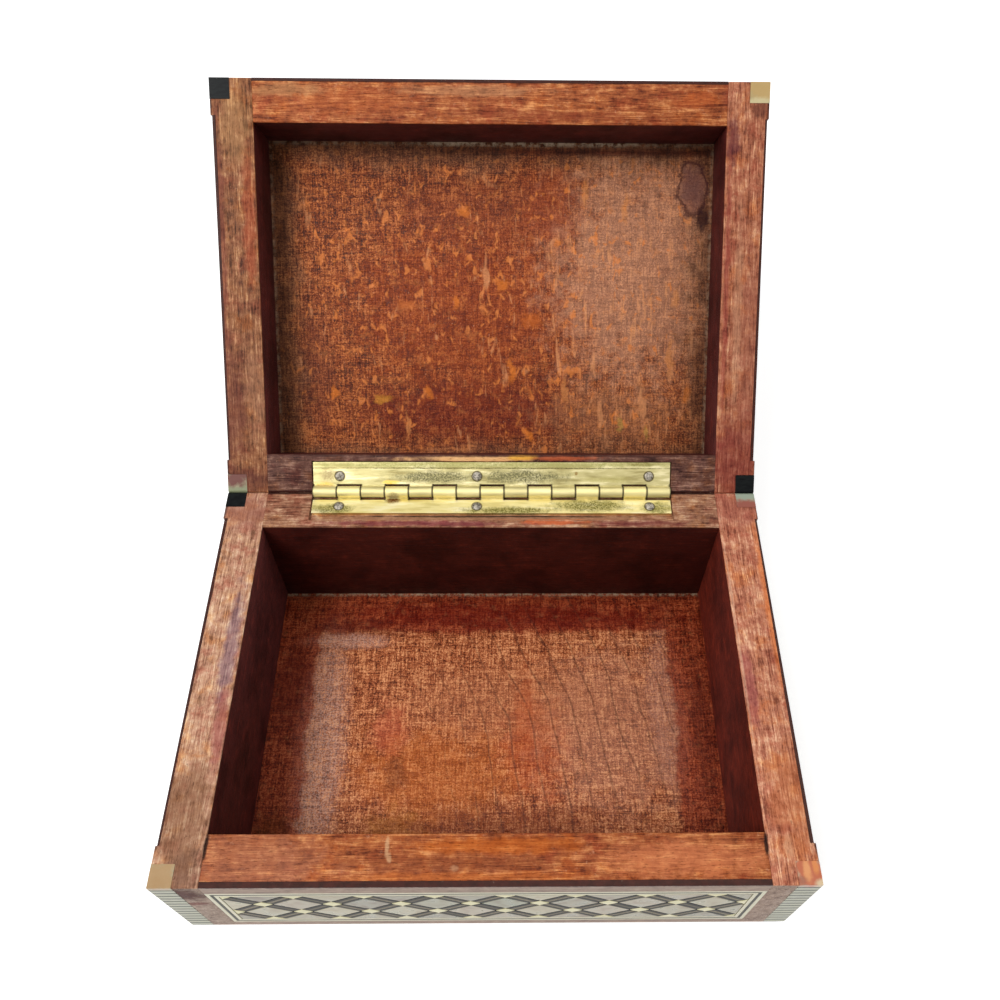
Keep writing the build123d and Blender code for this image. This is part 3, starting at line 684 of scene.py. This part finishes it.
class Pattern(Sums):
    """A geometry tree with named inputs, which adds its pieces to the ones that come in."""

    def __init__(self, name, **kinds):
        self.tree = bpy.data.node_groups.new(name, "GeometryNodeTree")
        self.tree.is_modifier = True
        face = self.tree.interface
        face.new_socket("Geometry", in_out="OUTPUT", socket_type="NodeSocketGeometry")
        for label, kind in {"Geometry": "Geometry", **kinds}.items():
            face.new_socket(label, in_out="INPUT", socket_type="NodeSocket" + kind)
        self.given = self.tree.nodes.new("NodeGroupInput").outputs

    def add(self, kind, sockets, **settings):
        return put(self.tree, "GeometryNode" + kind, sockets, **settings).outputs[0]

    def real(self, copies):
        """Copies made into a mesh of their own."""
        return self.add("RealizeInstances", {"Geometry": copies})

    def joined(self, *parts):
        node = self.tree.nodes.new("GeometryNodeJoinGeometry")
        for part in parts:
            self.tree.links.new(part, node.inputs[0])
        return node.outputs[0]

    def apart(self):
        spot = self.add("InputPosition", {})
        return self.part("SeparateXYZ", {0: spot})

    def vector(self, x, y, z):
        return self.part("CombineXYZ", {0: x, 1: y, 2: z})[0]

    def chance(self, low, high, seed):
        sockets = {2: low, 3: high, "Seed": seed}
        return put(self.tree, "FunctionNodeRandomValue", sockets, data_type="FLOAT").outputs[1]

    def moved(self, geometry, place):
        return self.add("SetPosition", {"Geometry": geometry, "Position": place})

    def shaped(self, tile, top_share):
        """A tile's block, its upper edges eased and its foot let down by the sheet's thickness."""
        x, y, z = self.apart()
        top = self.maths("GREATER_THAN", z, 0.4)
        foot = self.maths("LESS_THAN", z, -0.4)
        middle = self.less(1.0, self.plus(top, foot))
        eased = self.times(middle, self.given["Ease"])
        level = self.plus(self.times(foot, self.given["Sheet"]), eased)
        share = self.less(1.0, self.times(top, self.less(1.0, top_share)))
        place = (self.times(x, share), self.times(y, share))
        return self.moved(tile, self.vector(*place, self.times(level, -1.0)))

    def net(self, columns, rows):
        """The corners of that many half meshes each way."""
        ways = ((columns, "X", "Step"), (rows, "Y", "Row"))
        sides = {"Size " + way: self.times(count, self.given[gap]) for count, way, gap in ways}
        corners = {"Vertices " + way: self.plus(count, 1.0) for count, way, _ in ways}
        return self.add("MeshGrid", {**sides, **corners})

    def parity(self, columns, rows):
        """Which of two neighbours a point of the field's net is, counted from its upper left corner."""
        x, y, _ = self.apart()
        across = self.maths("DIVIDE", x, self.given["Step"])
        down = self.maths("DIVIDE", y, self.given["Row"])
        half = self.maths("DIVIDE", self.plus(columns, rows), 2.0)
        place = self.maths("ROUND", self.plus(self.less(across, down), half))
        return self.maths("COMPARE", self.maths("MODULO", place, 2.0), self.given["Parity"], 0.1)

    def laid(self, net, chosen, tile):
        """Tiles laid on the net's chosen points by hand, each with its own shade."""
        seed = self.given["Seed"]
        turn = self.vector(0.0, 0.0, self.chance(-0.022, 0.022, seed))
        size = self.chance(0.965, 1.0, self.plus(seed, 1.0))
        spread = {"Points": net, "Selection": chosen, "Instance": tile, "Rotation": turn, "Scale": size}
        tiles = self.add("InstanceOnPoints", spread)
        shade = self.chance(0.0, 1.0, self.plus(seed, 2.0))
        shade = {"Geometry": tiles, "Name": "shade", "Value": shade}
        tiles = self.add("StoreNamedAttribute", shade, data_type="FLOAT", domain="INSTANCE")
        return self.real(tiles)

    def finish(self, made):
        """Turns the field to its face of the box and adds it to the rest."""
        turned = {"Geometry": made, "Translation": self.given["Centre"], "Rotation": self.given["Turn"]}
        whole = self.real(self.joined(self.given["Geometry"], self.add("Transform", turned)))
        whole = self.add("SetMaterial", {"Geometry": whole, "Material": self.given["Finish"]})
        self.tree.links.new(whole, self.tree.nodes.new("NodeGroupOutput").inputs[0])


field_sizes = dict(
    Columns="Int", Rows="Int", Step="Float", Row="Float", Share="Float", Sheet="Float", Ease="Float",
    Parity="Int", Seed="Int", Centre="Vector", Turn="Rotation", Finish="Material",
)


def lozenge_pattern():
    plan = Pattern("lozenges", **field_sizes)
    given = plan.given
    count = (given["Columns"], given["Rows"])
    block = {"Vertices": 4, "Side Segments": 2, "Radius": 1.0, "Depth": 2.0}
    tile = plan.shaped(plan.add("MeshCylinder", block), 0.965)
    x, y, z = plan.apart()
    reach = [plan.times(given[side], given["Share"]) for side in ("Step", "Row")]
    cut = (plan.times(x, reach[0]), plan.times(y, reach[1]))
    tile = plan.moved(tile, plan.vector(*cut, z))
    tiles = plan.laid(plan.net(*count), plan.parity(*count), tile)
    x, y, z = plan.apart()
    kept = []
    for side, many, gap in ((x, count[0], "Step"), (y, count[1], "Row")):
        end = plan.times(plan.times(many, given[gap]), 0.5)
        kept.append(plan.larger(plan.smaller(side, end), plan.times(end, -1.0)))
    tiles = plan.moved(tiles, plan.vector(*kept, z))
    plan.finish(plan.add("MergeByDistance", {"Geometry": tiles, "Distance": 1e-6}))
    return plan.tree


bar_width = 2.6
glue_line = 0.06
mesh_width = 6.79
mesh_height = 6.0


def field(label, place, centre, across, outward, width, height, sheet):
    """One field: its net of half meshes, and its turn onto its face of the box. mesh and crossing are
    the shares of a mesh that a lozenge and a diamond take."""
    columns = round(width / mesh_width)
    rows = round(height / mesh_height)
    step, row = width / columns, height / rows
    gap = 2 * step * row / hypot(step, row)
    across, outward = Vector(across), Vector(outward)
    turn = Matrix((across, outward.cross(across), outward)).transposed().to_4x4()
    spot = place @ Matrix.Translation(Vector(centre) * mm) @ turn
    return dict(
        label=label, columns=columns, rows=rows, step=step, row=row, sheet=sheet,
        mesh=1 - (bar_width + glue_line) / gap, crossing=(bar_width - glue_line) / gap,
        centre=spot.translation, turn=spot.to_euler(),
    )


field_length = 101.4
side_length = 71.5
top_length = 88.2
top_depth = 55.2
top_face = 18.6
veneer = 0.6
front_veneer = 1.15
top_veneer = 0.8


def wall_fields(place, level, height, front_sheet):
    """The four walls' fields: each one's centre, the way it runs, the way it faces and its size."""
    walls = (
        ("front", (0, -front_face, level), (1, 0, 0), (0, -1, 0), field_length, front_sheet),
        ("back", (0, front_face, level), (-1, 0, 0), (0, 1, 0), field_length, veneer),
        ("left", (-side_face, 0, level), (0, -1, 0), (-1, 0, 0), side_length, veneer),
        ("right", (side_face, 0, level), (0, 1, 0), (1, 0, 0), side_length, veneer),
    )
    return [
        field(label, place, centre, across, outward, width, height, sheet)
        for label, centre, across, outward, width, sheet in walls
    ]


top_centre = (0, 0, top_face)
top_field = field("top", lid_place, top_centre, (1, 0, 0), (0, 0, 1), top_length, top_depth, top_veneer)
fields = {
    "base": wall_fields(Matrix(), 16.4, 18.0, front_veneer),
    "lid": wall_fields(lid_place, 8.3, 6.0, veneer) + [top_field],
}


def worked(name, body, replaced, steps):
    """A piece made by geometry trees, each with its own inputs, and kept as a plain mesh."""
    piece = placed(name, bpy.data.meshes.new(name))
    for label, tree, inputs in steps:
        work = piece.modifiers.new(label, "NODES")
        work.node_group = tree
        for socket in tree.interface.items_tree:
            if socket.name in inputs:
                work[socket.identifier] = inputs[socket.name]
    graph = bpy.context.evaluated_depsgraph_get()
    mesh = bpy.data.meshes.new_from_object(piece.evaluated_get(graph), depsgraph=graph)
    piece.modifiers.clear()
    piece.data = mesh
    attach(piece, body)
    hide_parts(*replaced)


def lay(name, body, kinds, share, finish, slot, *replaced):
    """Lays tiles in every field of a body. kinds lists each tree with its parity and seed, and share is
    mesh or crossing."""
    steps = [
        (area["label"], tree, dict(
            Columns=area["columns"], Rows=area["rows"], Step=area["step"] * mm,
            Row=area["row"] * mm, Share=area[share], Along=area["mesh"],
            Sheet=area["sheet"] * mm, Ease=0.05 * mm, Parity=parity,
            Seed=seed + 10 * i, Centre=tuple(area["centre"]), Turn=tuple(area["turn"]), Finish=finish,
        ))
        for tree, parity, seed in kinds
        for i, area in enumerate(fields[body])
    ]
    worked(name, body, replaced, steps)


def pearl_finish():
    shell = Finish("mother_of_pearl")
    shade = shell.mark("shade")
    waves = shell.ramp(shell.noise(0.3, 3, 2, 0.5, 0.5), 0.3, 0.7)
    shell.colour = shell.blend(shade, (112, 119, 96), (158, 146, 125), (104, 101, 86), (170, 162, 132))
    silk = shell.blend(waves, (117, 129, 107), (172, 159, 130), (155, 129, 116))
    shell.coat(0.32, 1.0, silk)
    rough = shell.plus(0.24, shell.times(waves, 0.16))
    return shell.done(rough, shine=0.28)


lozenges = lozenge_pattern()
pearl = pearl_finish()
lay("base_pearls", "base", [(lozenges, 1, 100)], "mesh", pearl, "pearl", "base_pearl_lozenges")
lay("lid_pearls", "lid", [(lozenges, 1, 200)], "mesh", pearl, "pearl", "lid_pearl_lozenges", "lid_top_field")

# Bone diamonds: small cream diamonds where the bars of the lattice cross, halved at a field's edge. Each
# is sawn from thin bone and glued in between the ends of the bars.


def diamond_finish():
    bone = Finish("bone_diamond")
    cloud = bone.ramp(bone.noise(0.6, 4, 3), 0.32, 0.68)
    tone = bone.plus(bone.times(bone.mark("shade"), 0.6), bone.times(cloud, 0.4))
    bone.colour = bone.blend(tone, (194, 187, 139), (210, 202, 152), (221, 213, 177))
    return bone.done(0.34, shine=0.4)


cream_bone = diamond_finish()
for body, seed in (("base", 300), ("lid", 400)):
    kinds = [(lozenges, 0, seed)]
    lay(f"{body}_diamonds", body, kinds, "crossing", cream_bone, "cream_bone", f"{body}_bone_diamonds")

# Lattice bars: each is glued up from three strips of wood, dark, light and dark, cut to fit between two
# diamonds. They rise and fall in turn across the field.


def bar_pattern(name, slope):
    plan = Pattern(name, **field_sizes, Along="Float")
    given = plan.given
    count = [plan.less(given[side], 1.0) for side in ("Columns", "Rows")]
    block = {"Size": (1.0, 1.0, 1.0), "Vertices X": 2, "Vertices Y": 2, "Vertices Z": 3}
    strip = plan.shaped(plan.add("MeshCube", block), 0.95)
    line = {"Count": 3, "Start Location": (0.0, -1.0, 0.0), "Offset": (0.0, 1.0, 0.0)}
    line = plan.add("MeshLine", line)
    strips = plan.add("InstanceOnPoints", {"Points": line, "Instance": strip})
    mark = {"Geometry": strips, "Name": "strip", "Value": plan.add("InputIndex", {})}
    strips = plan.add("StoreNamedAttribute", mark, data_type="FLOAT", domain="INSTANCE")
    strips = plan.real(strips)
    x, y, z = plan.apart()
    along = plan.times(x, given["Along"])
    across = plan.times(y, plan.maths("DIVIDE", given["Share"], 3.0))
    right = plan.times(plan.plus(along, across), given["Step"])
    up = plan.times(plan.times(plan.less(along, across), given["Row"]), float(slope))
    strips = plan.moved(strips, plan.vector(right, up, z))
    if slope > 0:
        strips = plan.add("FlipFaces", {"Mesh": strips})
    plan.finish(plan.laid(plan.net(*count), plan.parity(*count), strips))
    return plan.tree


def bar_finish():
    wood = Finish("bar_wood")
    shade = wood.mark("shade")
    middle = wood.maths("COMPARE", wood.mark("strip"), 1.0, 0.1)
    grain = wood.ramp(wood.noise(1.6, 6, 4), 0.32, 0.68)
    dark = wood.blend(shade, (12, 13, 10), (26, 23, 17), (18, 19, 16))
    light = wood.blend(wood.rise(shade, 0.0, 0.25), (84, 76, 60), (122, 112, 90))
    wood.colour = wood.mix(middle, dark, light)
    wood.stain(1.0, 0.4, wood.blend(grain, (150, 142, 134), (255, 255, 255)))
    return wood.done(0.42, wood.relief(grain, 0.01), shine=0.07)


bar_wood = bar_finish()
rising = bar_pattern("bars_rising", 1)
falling = bar_pattern("bars_falling", -1)
for body, first, second in (("base", 500, 550), ("lid", 600, 660)):
    kinds = [(rising, 1, first), (falling, 0, second)]
    lay(f"{body}_bars", body, kinds, "crossing", bar_wood, "bar_wood", f"{body}_lattice_bars")

# Piano hinge: two strips of thin brass rolled round a steel pin and let into the back boards. The brass
# has gone olive in patches, and dirt and painted shade darken it between the knuckles and round the
# nails.
hinge_length = 84.7
knuckle_count = 15
nail_places = (-36.1, -3.6, 37.3)
nail_row = 41.9
barrel_edge = 43.9
dirt_and_shade = (44, 32, 18)


def brass_finish(name, shades, own, level, stains, from_frame=Matrix()):
    """Brass in three shades. own is 0 for the leaf with the first knuckle and 1 for the other."""
    brass = Finish(name, from_frame, level, 3.0)
    rub = brass.ramp(brass.noise((0.12, 0.7, 0.7), 4, 4), 0.34, 0.66)
    brass.colour = brass.blend(rub, *shades)
    dull = 0.0
    for i, (centre, reach, tint, strength) in enumerate(stains):
        speck = brass.rise(brass.noise(2.4, 3 + i, 4, 0.75), 0.36, 0.6)
        patch = brass.times(brass.blot(centre, reach, 0.3, 9 * i, 0.6), strength)
        patch = brass.times(patch, brass.plus(0.45, brass.times(speck, 0.55)))
        brass.coat(patch, 1.0, tint)
        dull = brass.larger(dull, patch)
    pitch = hinge_length / knuckle_count
    place = brass.maths("DIVIDE", brass.plus(brass.x, hinge_length / 2), pitch)
    rolled = brass.rise(brass.y, barrel_edge, barrel_edge + 0.4)
    brass.coat(rolled, 0.6, (214, 204, 152))
    # Dirt and painted shade in the joints between the knuckles.
    joint = brass.near(brass.maths("FRACT", brass.plus(place, 0.5)), 0.5, 0.07)
    barrel = brass.rise(brass.y, barrel_edge - 0.3, barrel_edge)
    brass.coat(brass.times(joint, barrel), 0.95, dirt_and_shade)
    # Dirt and painted shade along the lip of each notch.
    number = brass.maths("MODULO", brass.maths("FLOOR", place), 2.0)
    notched = brass.maths("COMPARE", number, 1.0 - own, 0.1)
    lip = brass.times(brass.rise(brass.y, barrel_edge - 0.2, barrel_edge - 0.05), notched)
    brass.coat(lip, 0.95, dirt_and_shade)
    worn = brass.rise(brass.noise(0.5, 12, 3), 0.35, 0.6)
    brass.coat(brass.near(brass.y, barrel_edge + 0.2, 0.2), brass.times(worn, 0.6), (150, 140, 84))
    # Dirt and painted shade in a ring round each nail head.
    for place in nail_places:
        spot = brass.vector("SUBTRACT", brass.where, (place, nail_row, 0.0))
        away = brass.vector("LENGTH", brass.vector("MULTIPLY", spot, (1.0, 1.0, 0.0)))
        brass.coat(brass.rise(away, 1.45, 1.15), 0.85, (70, 60, 34))
    rough = brass.plus(0.3, brass.plus(brass.times(rub, 0.1), brass.times(dull, 0.3)))
    rough = brass.plus(rough, brass.times(rolled, 0.26))
    return brass.done(rough, brass.relief(rub, 0.02), metal=1.0)


olive = (112, 106, 50)
grey_olive = (106, 102, 72)
base_tarnish = [
    ((-37.5, 41.2), (5.5, 1.6), olive, 0.95),
    ((4, 40.7), (13, 1.2), olive, 1.0),
    ((23.5, 42.1), (10, 2.0), olive, 1.0),
    ((39, 41.4), (4, 2.0), olive, 0.9),
    ((-23.4, 43.6), (1.9, 1.0), (104, 58, 20), 1.0),
    ((-23.4, 44.0, 32.5), (1.4, 0.8), (104, 58, 20), 1.0),
]
lid_brass_marks = [
    ((-14, 42.1), (12, 1.9), grey_olive, 1.0),
    ((7, 42.0), (13, 1.9), grey_olive, 1.0),
    ((-38.6, 41.6), (2.6, 1.6), (146, 128, 92), 0.8),
    ((28, 42.6), (7, 0.9), (158, 150, 92), 0.6),
    # A duller grey strip along the leaf's far edge, with a dark line at its inner side.
    ((0, 39.2), (60, 0.9), (150, 146, 92), 0.9),
    ((0, 40.0), (60, 0.2), (80, 74, 42), 0.9),
    ((-40, 44.2), (3, 1.0), (222, 176, 84), 0.8),
    ((-24, 43.4), (2.4, 0.6), (226, 186, 70), 0.8),
    ((20, 41.2), (0.5, 0.5), (120, 84, 30), 0.9),
    ((36, 39.0), (5, 0.6), (120, 112, 60), 0.8),
]
bright_brass = ((220, 202, 130), (238, 222, 154), (246, 234, 184))
dull_brass = ((166, 152, 100), (196, 184, 130), (228, 216, 168))
dress(brass_finish("base_brass", bright_brass, 1, 31.7, base_tarnish), "hinge_base_leaf")
dress(brass_finish("lid_brass", dull_brass, 0, 1.0, lid_brass_marks, in_lid), "hinge_lid_leaf")


def steel_finish(name, dark, light):
    steel = Finish(name)
    tone = steel.ramp(steel.noise(1.9, 4, 4, 0.7), 0.36, 0.64)
    steel.colour = steel.blend(tone, dark, light)
    rough = steel.plus(0.42, steel.times(tone, 0.2))
    return steel.done(rough, steel.relief(tone, 0.03), metal=0.7)


dress(steel_finish("pin_steel", (120, 116, 96), (170, 166, 140)), "hinge_pin")

# Hinge nails: small steel tacks with low hammered heads, three in each leaf, each driven a little askew
# through the brass into the back board.
nail_steel = steel_finish("nail_steel", (84, 78, 68), (182, 174, 160))


def nail_pattern():
    plan = Pattern(
        "nails", Head="Float", Rise="Float", Shank="Float", Length="Float", Seed="Int",
        Centre="Vector", Turn="Rotation", Finish="Material",
    )
    given = plan.given
    ball = plan.add("MeshUVSphere", {"Segments": 28, "Rings": 16, "Radius": 1.0})
    x, y, z = plan.apart()
    low = plan.maths("LESS_THAN", z, -0.01)
    swell = plan.maths("POWER", plan.larger(z, 0.0), 0.8)
    dome = plan.times(swell, given["Rise"])
    skirt = plan.times(low, -0.02 * mm)
    sides = [plan.times(side, given["Head"]) for side in (x, y)]
    head = plan.moved(ball, plan.vector(*sides, plan.plus(dome, skirt)))
    shank = plan.add("MeshCube", {"Size": (1.0, 1.0, 1.0)})
    x, y, z = plan.apart()
    sides = [plan.times(side, given["Shank"]) for side in (x, y)]
    depth = plan.times(plan.less(z, 0.5), given["Length"])
    shank = plan.moved(shank, plan.vector(*sides, depth))
    nail = plan.joined(head, shank)
    seed = given["Seed"]
    tips = [plan.chance(-0.07, 0.07, turn) for turn in (seed, plan.plus(seed, 1.0))]
    row = {"Count": 3, "Start Location": (0.0, 0.0, 0.0), "Offset": (1.0, 0.0, 0.0)}
    row = plan.add("MeshLine", row)
    order = plan.add("InputIndex", {})
    along = 0.0
    for i, place in enumerate(nail_places):
        chosen = plan.maths("COMPARE", order, float(i), 0.1)
        along = plan.plus(along, plan.times(chosen, place * mm))
    row = plan.moved(row, plan.vector(along, 0.0, 0.0))
    spread = {"Points": row, "Instance": nail, "Rotation": plan.vector(*tips, 0.0)}
    nails = plan.real(plan.add("InstanceOnPoints", spread))
    plan.finish(plan.add("SetShadeSmooth", {"Geometry": nails}))
    return plan.tree


nail_tree = nail_pattern()


def drive_nails(name, body, place, seed, node):
    sizes = dict(
        Head=1.1 * mm, Rise=0.42 * mm, Shank=0.85 * mm, Length=6.0 * mm,
        Seed=seed, Centre=tuple(place.translation), Turn=tuple(place.to_euler()), Finish=nail_steel,
    )
    worked(name, body, [node], [("nails", nail_tree, sizes)])


leaf_depth = 0.3
base_nail_place = Matrix.Translation(Vector((0, nail_row, base_rim - leaf_depth)) * mm)
lid_nail_place = lid_place @ Matrix.Translation(Vector((0, nail_row, leaf_depth)) * mm)
drive_nails("base_nails", "base", base_nail_place, 3, "base_hinge_nails")
drive_nails("lid_nails", "lid", lid_nail_place @ Matrix.Rotation(pi, 4, "X"), 8, "lid_hinge_nails")

# Studio: a white table under broad soft light, and the camera where the photographer stood. The table
# and the sky are brighter to the camera and in reflections than the light that they give.


def seen_directly(tree):
    """1 where the camera, a reflection or glass shows a surface, 0 where it only gives light."""
    rays = put(tree, "ShaderNodeLightPath", {}).outputs
    seen = rays["Is Camera Ray"]
    for kind in ("Is Glossy Ray", "Is Transmission Ray"):
        seen = put(tree, "ShaderNodeMath", {0: seen, 1: rays[kind]}, operation="MAXIMUM").outputs[0]
    return seen


paper = Finish("white_table")
paper.shader.inputs["Base Color"].default_value = (0.9, 0.9, 0.9, 1)
paper.shader.inputs["Roughness"].default_value = 0.9
glow = {"Color": (1, 1, 1, 1), "Strength": paper.times(seen_directly(paper.tree), 0.5)}
glow = put(paper.tree, "ShaderNodeEmission", glow)
lit = put(paper.tree, "ShaderNodeAddShader", {0: paper.shader.outputs[0], 1: glow.outputs[0]})
paper.tree.links.new(lit.outputs[0], paper.tree.nodes["Material Output"].inputs["Surface"])
bpy.ops.mesh.primitive_plane_add(size=6.0, location=(0, 0, -0.0001))
table = bpy.context.object
table.name = "table"
table.data.materials.append(paper.material)

world = bpy.data.worlds.new("studio")
bpy.context.scene.world = world
world.use_nodes = True
sky = world.node_tree.nodes["Background"]
sky_level = {0: seen_directly(world.node_tree), 1: 0.6, 2: 0.4}
sky_level = put(world.node_tree, "ShaderNodeMath", sky_level, operation="MULTIPLY_ADD")
sky.inputs["Color"].default_value = (1, 1, 1, 1)
world.node_tree.links.new(sky_level.outputs[0], sky.inputs["Strength"])


def lamp(name, place, aim, size, power):
    light = bpy.data.lights.new(name, "AREA")
    light.shape = "DISK"
    light.size = size
    light.energy = power
    piece = placed(name, light)
    piece.location = place
    piece.rotation_euler = (Vector(aim) - Vector(place)).to_track_quat("-Z", "Y").to_euler()


box_middle = (0, 0.02, 0.03)
lamp("window", (-0.38, -0.26, 0.74), box_middle, 0.4, 4.8)
lamp("ceiling_light", (0.28, 0.12, 0.85), box_middle, 0.6, 1.7)

view = bpy.data.cameras.new("camera")
view.sensor_width = 36.0
view.lens = 33.343
view.shift_x = -0.0255
view.shift_y = 0.0748
view.clip_start = 0.01
camera = placed("camera", view)
stand = Matrix.Translation((0.00448, -0.09012, 0.20696))
turned = Matrix.Rotation(radians(-1.659), 4, "Z")
tipped = Matrix.Rotation(radians(-57.226), 4, "X")
leant = Matrix.Rotation(radians(-1.397), 4, "Y")
camera.matrix_world = stand @ turned @ tipped @ leant @ Matrix.Rotation(pi / 2, 4, "X")
bpy.context.scene.camera = camera
bpy.context.scene.view_settings.view_transform = "Standard"
